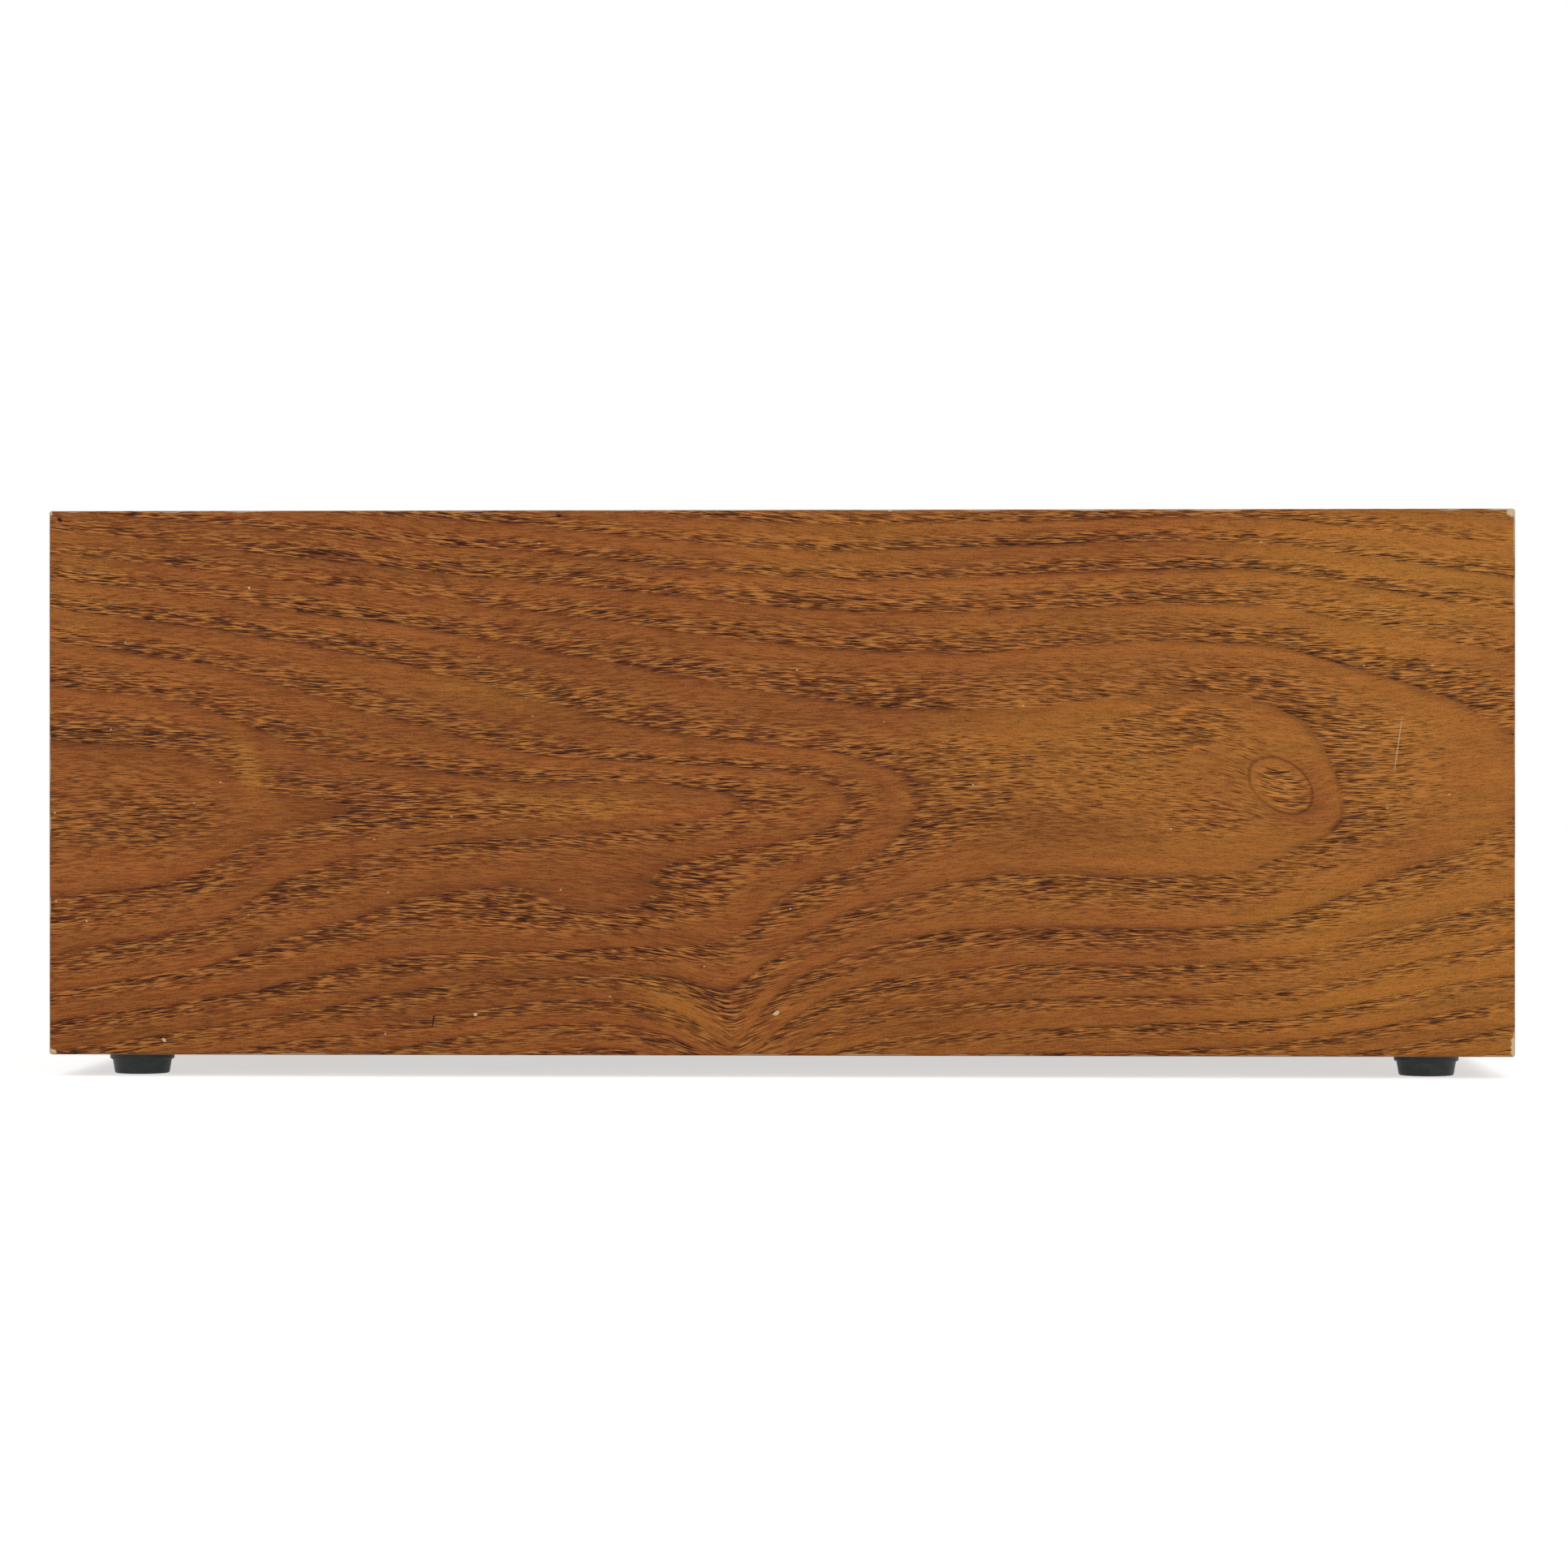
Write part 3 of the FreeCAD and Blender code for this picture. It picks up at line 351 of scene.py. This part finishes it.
    # colour: red to the left and golden to the right, darker at the ring lines
    tone = put(tree, "ValToRGB", [phase])
    ramp = tone.node.color_ramp
    ramp.elements[0].color = hexToLinear(veneer["early"])
    ramp.elements[1].color = hexToLinear(veneer["early"])
    ramp.elements.new(0.45).color = hexToLinear(veneer["middle"])
    ramp.elements.new(0.86).color = hexToLinear(veneer["late"])
    warm = put(tree, "MapRange", {"Value": u, "From Min": -180.0, "From Max": 180.0, "To Min": -0.2, "To Max": 0.18})
    warm = put(tree, "Math", [warm, layers["cloud"]], operation="ADD")
    redness = put(tree, "MapRange", {"Value": warm, "From Min": 0.5, "From Max": 0.2, "To Max": 0.6})
    golden = put(tree, "MapRange", {"Value": warm, "From Min": 0.48, "From Max": 0.8, "To Max": 0.65})
    colour = put(tree, "Mix", {0: redness, 6: tone, 7: hexToLinear(veneer["red"])}, out=2, data_type="RGBA")
    colour = put(tree, "Mix", {0: golden, 6: colour, 7: hexToLinear(veneer["gold"])}, out=2, data_type="RGBA")
    # sheen and tint patches: gold ones paint a golden sheen and lighten the tone, red ones darken the tone
    for glow in figure["sheensAndTints"]:
        away = awayFrom(tree, flat, glow["at"], glow["size"], glow["turn"])
        sheenAndTintShare = put(tree, "MapRange", {"Value": away, "From Min": 1.3, "From Max": 0.2, "To Max": glow["strength"]},
                  interpolation_type="SMOOTHSTEP")
        colour = put(tree, "Mix", {0: sheenAndTintShare, 6: colour, 7: hexToLinear(veneer[glow["tint"]])}, out=2, data_type="RGBA")
    streak = 1.0
    for key, (low, high) in veneer["swings"].items():
        swing = put(tree, "MapRange", {"Value": layers[key], "From Min": 0.3, "From Max": 0.7, "To Min": low,
                                       "To Max": high})
        streak = put(tree, "Math", [streak, swing], operation="MULTIPLY")
    colour = put(tree, "HueSaturation", {"Color": colour, "Value": streak})
    # the painted highlights on the pores' lips go into the colour
    colour = put(tree, "Mix", {0: fleck, 6: colour, 7: hexToLinear(veneer["glint"])}, out=2, data_type="RGBA")
    drawn = put(tree, "MapRange", {"Value": layers["fading"], "From Min": 0.4, "From Max": 0.65,
                                   "To Max": veneer["lineShade"]})
    drawn = put(tree, "Math", [drawn, rim], operation="ADD")
    ringLine = put(tree, "MapRange", {"Value": phase, "From Min": 0.0, "From Max": veneer["lineTo"], "To Min": 1.0,
                                      "To Max": 0.0}, interpolation_type="SMOOTHSTEP")
    ringFoot = put(tree, "MapRange", {"Value": phase, "From Min": veneer["lineFrom"], "From Max": 1.0},
                   interpolation_type="SMOOTHSTEP")
    ringLine = put(tree, "Math", [ringLine, ringFoot], operation="MAXIMUM")
    ringLine = put(tree, "Math", [ringLine, drawn], operation="MULTIPLY")
    colour = put(tree, "Mix", {0: ringLine, 6: colour, 7: hexToLinear(veneer["line"])}, out=2, data_type="RGBA")
    poreShade = put(tree, "Math", [dash, veneer["poreShade"]], operation="MULTIPLY")
    colour = put(tree, "Mix", {0: poreShade, 6: colour, 7: hexToLinear(veneer["pore"])}, out=2, data_type="RGBA")

    # wear and marks: the rubbed edge of the board, then single chips and scratches, and small dark spots
    fromEdge = figure["half"][0]
    for offMiddle, reach in zip((u, v), figure["half"]):
        offMiddle = put(tree, "Math", [offMiddle], operation="ABSOLUTE")
        fromSide = put(tree, "Math", [reach, offMiddle], operation="SUBTRACT")
        fromEdge = put(tree, "Math", [fromEdge, fromSide], operation="MINIMUM")
    rubbed = put(tree, "MapRange", {"Value": layers["rub"], "From Min": 0.38, "From Max": 0.62, "To Min": -0.25,
                                    "To Max": 0.45})
    edge = put(tree, "Math", [fromEdge, rubbed], operation="LESS_THAN")
    edge = put(tree, "Math", [edge, 0.7], operation="MULTIPLY")
    masks = {}
    for kind, start in (("worn", edge), ("scratches", 0.0), ("darkSpots", 0.0)):
        masks[kind] = start
        for mark in figure[kind]:
            away = awayFrom(tree, flat, mark["at"], mark["size"], mark["turn"])
            ragged = put(tree, "Math", [away, layers["grit"]], operation="ADD")
            inside = put(tree, "MapRange", {"Value": ragged, "From Min": 1.5, "From Max": 1.25})
            masks[kind] = put(tree, "Math", [masks[kind], inside], operation="MAXIMUM")
    scratched = put(tree, "Math", [masks["scratches"], 0.45], operation="MULTIPLY")
    specks = put(tree, "MapRange", {"Value": layers["speck"], "From Min": 0.011, "From Max": 0.006, "To Max": 0.7})
    dusty = put(tree, "MapRange", {"Value": layers["rub"], "From Min": 0.5, "From Max": 0.54})
    specks = put(tree, "Math", [specks, dusty], operation="MULTIPLY")
    for mask, key in ((masks["worn"], "worn"), (scratched, "worn"), (specks, "worn"), (masks["darkSpots"], "dark")):
        colour = put(tree, "Mix", {0: mask, 6: colour, 7: hexToLinear(veneer[key])}, out=2, data_type="RGBA")

    # the figure is only on the outer face: the board's edges carry a straight-grained band, whose fibre
    # runs along the edge, and the inner face is plain board
    axis, side = figure["skin"]
    across = put(tree, "SeparateXYZ", [put(tree, "TexCoord", out="Normal")]).node.outputs[axis]
    facing = put(tree, "Math", [across, side], operation="MULTIPLY")
    outer = put(tree, "Math", [facing, veneer["skinFacing"]], operation="GREATER_THAN")
    inner = put(tree, "Math", [facing, -veneer["skinFacing"]], operation="LESS_THAN")
    alongBand, acrossBand = veneer["bandFibre"]
    bandCell = [acrossBand if letter == axis else alongBand for letter in "XYZ"]
    bandFibre, = patternsInMm(tree, [bandCell], 4.0)
    low, high = veneer["bandSwing"]
    bandTone = put(tree, "MapRange", {"Value": bandFibre, "From Min": 0.3, "From Max": 0.7, "To Min": low,
                                      "To Max": high})
    banded = put(tree, "HueSaturation", {"Color": hexToLinear(veneer["middle"]), "Value": bandTone,
                                         "Saturation": veneer["bandSaturation"]})
    plain = put(tree, "HueSaturation", {"Color": hexToLinear(veneer["inner"]), "Value": streak})
    colour = put(tree, "Mix", {0: outer, 6: banded, 7: colour}, out=2, data_type="RGBA")
    colour = put(tree, "Mix", {0: inner, 6: colour, 7: plain}, out=2, data_type="RGBA")
    tree.links.new(colour, shader.inputs["Base Color"])

    low, high = veneer["gloss"]
    gloss = put(tree, "MapRange", {"Value": dash, "To Min": low, "To Max": high})
    gloss = put(tree, "Math", [masks["worn"], veneer["wornGloss"], gloss], operation="MULTIPLY_ADD")
    gloss = put(tree, "Mix", {0: inner, 2: gloss, 3: veneer["innerGloss"]}, data_type="FLOAT")
    tree.links.new(gloss, shader.inputs["Roughness"])
    ridges = put(tree, "Math", [layers["fibre"], 0.25], operation="MULTIPLY")
    height = put(tree, "Math", [dash, ridges], operation="SUBTRACT")
    relief = put(tree, "Bump", {"Height": height, "Distance": veneer["poreDepth"], "Strength": 0.5}, invert=True)
    tree.links.new(relief, shader.inputs["Normal"])
    return material


# Plain timber inside: planed beech battens and a birch plywood base, bare and matt
timbers = {
    "birch_board": {"name": "barePlywood", "pale": "#d2ac7e", "deep": "#bb8d60", "streak": (40.0, 1.4, 1.4),
                    "ray": (9.0, 2.6, 2.6), "rough": 0.68},
    "beech_batten": {"name": "planedBeech", "pale": "#c99c6c", "deep": "#a9774a", "streak": (30.0, 1.0, 1.0),
                     "ray": (2.4, 0.5, 0.5), "rough": 0.6},
}


def timberFinish(recipe):
    material, tree, shader = newFinish(recipe["name"], IOR=1.5)
    streak, ray = patternsInMm(tree, [recipe["streak"], recipe["ray"]], 3.0)
    lines = put(tree, "MapRange", {"Value": streak, "From Min": 0.35, "From Max": 0.65})
    colour = put(tree, "Mix", {0: lines, 6: hexToLinear(recipe["pale"]), 7: hexToLinear(recipe["deep"])}, out=2,
                 data_type="RGBA")
    flecks = put(tree, "MapRange", {"Value": ray, "From Min": 0.4, "From Max": 0.7, "To Min": 1.06, "To Max": 0.86})
    colour = put(tree, "HueSaturation", {"Color": colour, "Value": flecks})
    tree.links.new(colour, shader.inputs["Base Color"])
    gloss = put(tree, "MapRange", {"Value": ray, "To Min": recipe["rough"] - 0.08, "To Max": recipe["rough"] + 0.08})
    tree.links.new(gloss, shader.inputs["Roughness"])
    relief = put(tree, "Bump", {"Height": streak, "Distance": 0.00005, "Strength": 0.4})
    tree.links.new(relief, shader.inputs["Normal"])
    return material


# Metals: rolled brass brushed along its length and a little tarnished, brass screws browner from
# handling, zinc-plated steel with faint crystals, and nickel plate with fine handling marks. Brush
# lines and marks are drawn a few times as wide as real ones, so that they show
metals = {
    "brass": {"name": "brushedBrass", "bright": "#b8924f", "dull": "#967238", "brush": (60.0, 0.18, 0.18),
              "patch": (16.0, 9.0, 9.0), "rough": (0.3, 0.5), "relief": 0.000012},
    "agedBrass": {"name": "handledBrassScrews", "bright": "#9c7a40", "dull": "#6b4f28", "brush": (1.2, 1.2, 1.2),
                  "patch": (4.0, 4.0, 4.0), "rough": (0.34, 0.52), "relief": 0.00001},
    "zinc_plated_steel": {"name": "zincPlatedSteel", "bright": "#c2c6c8", "dull": "#8d9295", "brush": (3.0, 3.0, 3.0),
                          "patch": (7.0, 7.0, 7.0), "rough": (0.32, 0.5), "relief": 0.00001},
    "nickel_plate": {"name": "nickelPlate", "bright": "#cbc7be", "dull": "#b0aba1", "brush": (9.0, 0.12, 0.12),
                     "patch": (14.0, 14.0, 14.0), "rough": (0.16, 0.3), "relief": 0.000006},
}


def metalFinish(recipe):
    material, tree, shader = newFinish(recipe["name"], Metallic=1.0)
    brush, patch = patternsInMm(tree, [recipe["brush"], recipe["patch"]], 4.0)
    tarnish = put(tree, "MapRange", {"Value": patch, "From Min": 0.42, "From Max": 0.72})
    colour = put(tree, "Mix", {0: tarnish, 6: hexToLinear(recipe["bright"]), 7: hexToLinear(recipe["dull"])}, out=2,
                 data_type="RGBA")
    tree.links.new(colour, shader.inputs["Base Color"])
    low, high = recipe["rough"]
    gloss = put(tree, "MapRange", {"Value": brush, "From Min": 0.3, "From Max": 0.7, "To Min": low, "To Max": high})
    tree.links.new(gloss, shader.inputs["Roughness"])
    relief = put(tree, "Bump", {"Height": brush, "Distance": recipe["relief"], "Strength": 0.5})
    tree.links.new(relief, shader.inputs["Normal"])
    return material


# Moulded rubber, nearly black with a teal cast: matt, greyer where it was handled, with a fine grain
# that is drawn coarse enough to show
rubber = {"deep": "#1c2626", "pale": "#33403f", "grain": (0.35, 0.35, 0.35), "scuff": (3.5, 3.5, 1.6)}


def rubberFinish():
    material, tree, shader = newFinish("mouldedRubber", IOR=1.52)
    grain, scuff = patternsInMm(tree, [rubber["grain"], rubber["scuff"]], 3.0)
    handled = put(tree, "MapRange", {"Value": scuff, "From Min": 0.4, "From Max": 0.75})
    colour = put(tree, "Mix", {0: handled, 6: hexToLinear(rubber["deep"]), 7: hexToLinear(rubber["pale"])}, out=2,
                 data_type="RGBA")
    tree.links.new(colour, shader.inputs["Base Color"])
    gloss = put(tree, "MapRange", {"Value": grain, "To Min": 0.42, "To Max": 0.62})
    tree.links.new(gloss, shader.inputs["Roughness"])
    relief = put(tree, "Bump", {"Height": grain, "Distance": 0.00004, "Strength": 0.5})
    tree.links.new(relief, shader.inputs["Normal"])
    return material


finishes = {slotName: timberFinish(recipe) for slotName, recipe in timbers.items()}
finishes.update({slotName: metalFinish(recipe) for slotName, recipe in metals.items()})
finishes["rubber"] = rubberFinish()
slotOf = {part["node"]: part["material_slot"] for part in frame["record"]["subparts"]}
slotOf.update({nodeName: "agedBrass" for nodeName in ("slot_plate_screws", "hinge_base_screws", "hinge_door_screws")})
for nodeName, piece in frame["nodes"].items():
    if nodeName in figures:
        finish = veneerFinish("lacqueredVeneer." + nodeName, figures[nodeName])
    else:
        finish = finishes[slotOf[nodeName]]
    piece.data.materials.clear()
    piece.data.materials.append(finish)
print("finishes given to", len(frame["nodes"]), "nodes")


# Studio: a pale floor that keeps the shadow, soft light from the front, camera almost square to the front
studio = {
    "floorSize": 12.0,
    "floorColour": "#f4f4f2",
    "floorGlow": 0.6,
    "sky": 0.45,
    "lamps": [
        {"name": "keyLamp", "at": (-0.9, -2.2, 1.5), "size": 1.6, "watts": 20.0},
        {"name": "fillLamp", "at": (1.3, -2.0, 0.9), "size": 1.6, "watts": 14.0},
        {"name": "backLamp", "at": (0.6, 2.2, 1.6), "size": 1.4, "watts": 16.0},
    ],
    "aim": (0.0, 0.0, 0.07),
}


# 1 for what the camera sees, straight or in a mirror or through glass
def seenDirectly(tree):
    rays = put(tree, "LightPath").node.outputs
    seen = put(tree, "Math", [rays["Is Camera Ray"], rays["Is Glossy Ray"]], operation="MAXIMUM")
    return put(tree, "Math", [seen, rays["Is Transmission Ray"]], operation="MAXIMUM")


def makeStudio():
    mesh = bpy.data.meshes.new("floor")
    shape = bmesh.new()
    bmesh.ops.create_grid(shape, x_segments=1, y_segments=1, size=studio["floorSize"] / 2)
    shape.to_mesh(mesh)
    shape.free()
    floor = bpy.data.objects.new("floor", mesh)
    bpy.context.collection.objects.link(floor)
    material, tree, shader = newFinish("paleFloor", Roughness=0.9, Specular_IOR_Level=0.1)
    shader.inputs["Base Color"].default_value = hexToLinear(studio["floorColour"])
    glow = put(tree, "Math", [seenDirectly(tree), studio["floorGlow"]], operation="MULTIPLY")
    light = put(tree, "Emission", {"Strength": glow})
    both = put(tree, "AddShader", [shader.outputs[0], light])
    tree.links.new(both, tree.nodes["Material Output"].inputs["Surface"])
    floor.data.materials.append(material)

    world = bpy.data.worlds.new("softStudio")
    world.use_nodes = True
    bpy.context.scene.world = world
    sky = world.node_tree
    level = put(sky, "MapRange", {"Value": seenDirectly(sky), "To Min": studio["sky"], "To Max": 1.0})
    sky.links.new(level, sky.nodes["Background"].inputs["Strength"])
    sky.nodes["Background"].inputs["Color"].default_value = (1.0, 1.0, 1.0, 1.0)

    for lamp in studio["lamps"]:
        data = bpy.data.lights.new(lamp["name"], "AREA")
        data.size = lamp["size"]
        data.energy = lamp["watts"]
        lampObject = bpy.data.objects.new(lamp["name"], data)
        bpy.context.collection.objects.link(lampObject)
        lampObject.location = lamp["at"]
        toAim = lampObject.location - Vector(studio["aim"])
        lampObject.rotation_euler = toAim.to_track_quat("Z", "Y").to_euler()


# the front fills 1803.8 of the picture's 1932 pixels across, a little left of and above its middle, and
# its right end is seen one per cent larger than its left, so the camera stands a little to the right
shot = {"away": 1.3, "round": 2.0, "aim": (0.0013, -0.11735, 0.0722), "sensor": 36.0, "acrossFrame": 384.7}


def makeCamera():
    data = bpy.data.cameras.new("camera")
    data.sensor_width = shot["sensor"]
    data.lens = shot["sensor"] * shot["away"] * 1000 / shot["acrossFrame"]
    camera = bpy.data.objects.new("camera", data)
    bpy.context.collection.objects.link(camera)
    turn = math.radians(shot["round"])
    camera.location = Vector(shot["aim"]) + shot["away"] * Vector((math.sin(turn), -math.cos(turn), 0.0))
    camera.rotation_euler = (math.pi / 2, 0.0, turn)
    bpy.context.scene.camera = camera


makeStudio()
makeCamera()
bpy.context.scene.view_settings.view_transform = "Standard"
print("studio and camera ready")
